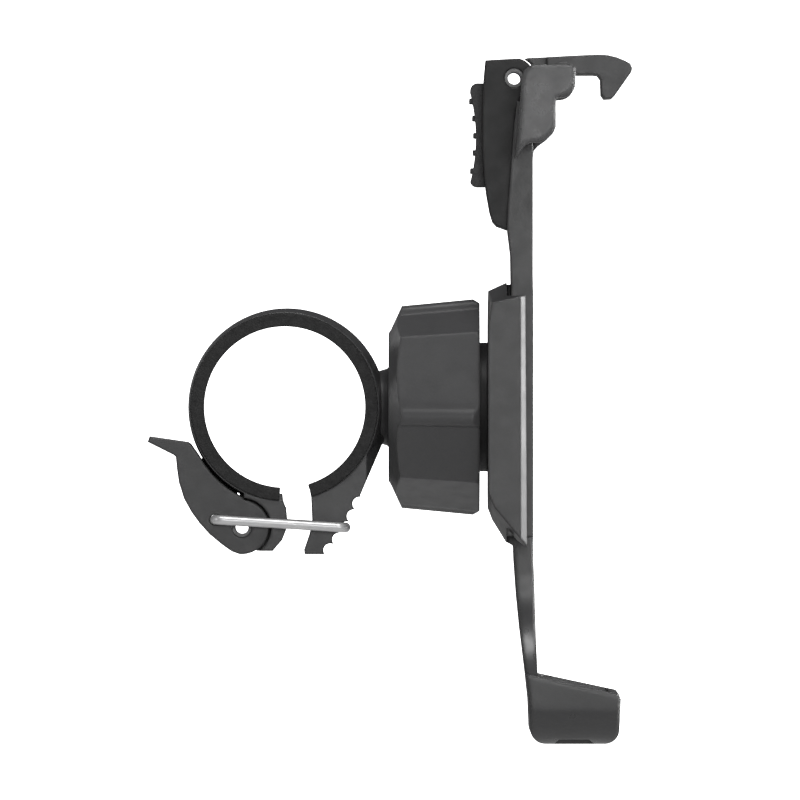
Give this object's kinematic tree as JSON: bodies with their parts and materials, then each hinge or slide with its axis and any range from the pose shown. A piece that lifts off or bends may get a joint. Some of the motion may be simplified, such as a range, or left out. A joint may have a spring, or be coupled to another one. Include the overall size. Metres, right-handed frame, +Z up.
{
  "type": "bicycle phone mount",
  "caption": "Handlebar phone mount: quick-release split ring with a wire bail, ball joint with a lock nut, and a sliding cradle with a bottom tray and a lever-operated top hook.",
  "frame": {"origin": "centre of the handlebar bore, in the middle of the liner's width", "axes": "+Y along the handlebar, +X from the handlebar towards the phone, +Z up along the cradle"},
  "size_m": [0.096, 0.082, 0.1362],
  "materials": {
    "ring_plastic": "satin moulded",
    "liner_rubber": "fine grained",
    "lever_plastic": "satin moulded",
    "wire_steel": "bright drawn wire",
    "inner_plastic": "matt moulded",
    "steel": "plated",
    "dark_steel": "black oxide",
    "nut_plastic": "satin moulded",
    "body_plastic": "satin moulded",
    "pad_rubber": "matt"
  },
  "bodies": {
    "ring": {"clamp_ring": "ring_plastic", "ring_liner": "liner_rubber", "clamp_lever_pin": "dark_steel"},
    "clamp_lever": {"clamp_lever": "lever_plastic"},
    "bail": {"bail_wire": "wire_steel"},
    "tilt_shell": {"ball_liner": "inner_plastic"},
    "pan_shell": {"friction_ring": "steel"},
    "cradle": {"ball_socket": "inner_plastic", "socket_screws": "steel", "back_housing": "body_plastic", "rail_covers": "body_plastic", "rail_screws": "steel", "lower_arm": "body_plastic", "lower_arm_screws": "steel", "tray_pad": "pad_rubber", "friction_spring": "steel", "stop_pin": "steel", "thrust_washer": "steel"},
    "nut": {"lock_nut": "nut_plastic"},
    "upper_arm": {"upper_arm": "body_plastic", "head": "body_plastic", "head_screws": "steel", "head_pads": "pad_rubber", "hook_pin": "steel", "hook_spring": "steel", "release_lever_pins": "dark_steel"},
    "hook": {"hook": "lever_plastic", "hook_pad": "pad_rubber"},
    "release_lever": {"release_lever": "lever_plastic", "lever_pad": "pad_rubber"}
  },
  "joints": [
    {"name": "clamp_lever_hinge", "type": "hinge", "parent": "ring", "child": "clamp_lever", "pos_m": [-0.00843, 0, -0.02381], "axis": [0, -1, 0], "range_deg": [0, 90]},
    {"name": "bail_hinge", "type": "hinge", "parent": "clamp_lever", "child": "bail", "pos_m": [-0.01379, 0, -0.0223], "axis": [0, -1, 0], "range_deg": [-120, 0]},
    {"name": "ball_tilt", "type": "hinge", "parent": "ring", "child": "tilt_shell", "pos_m": [0.0275, 0, 0], "axis": [0, 1, 0], "range_deg": [-6.5, 6.5]},
    {"name": "ball_pan", "type": "hinge", "parent": "tilt_shell", "child": "pan_shell", "pos_m": [0.0275, 0, 0], "axis": [0, 0, 1], "range_deg": [-6.5, 6.5]},
    {"name": "ball_swivel", "type": "hinge", "parent": "pan_shell", "child": "cradle", "pos_m": [0.0275, 0, 0], "axis": [1, 0, 0], "continuous": true},
    {"name": "nut_turn", "type": "hinge", "parent": "cradle", "child": "nut", "pos_m": [0.0275, 0, 0], "axis": [-1, 0, 0], "range_deg": [0, 90]},
    {"name": "arm_slide", "type": "slide", "parent": "cradle", "child": "upper_arm", "axis": [0, 0, 1], "range_m": [0, 0.03]},
    {"name": "release_hinge", "type": "hinge", "parent": "upper_arm", "child": "release_lever", "pos_m": [0.0455, 0, 0.0651], "axis": [0, 1, 0], "range_deg": [0, 90]},
    {"name": "hook_hinge", "type": "hinge", "parent": "upper_arm", "child": "hook", "pos_m": [0.0552, 0, 0.0659], "axis": [0, -1, 0], "range_deg": [0, 31]}
  ],
  "couplings": [
    {"joint": "bail_hinge", "follows": "clamp_lever_hinge", "ratio": -1.3},
    {"joint": "hook_hinge", "follows": "release_hinge", "ratio": 0.3333}
  ]
}
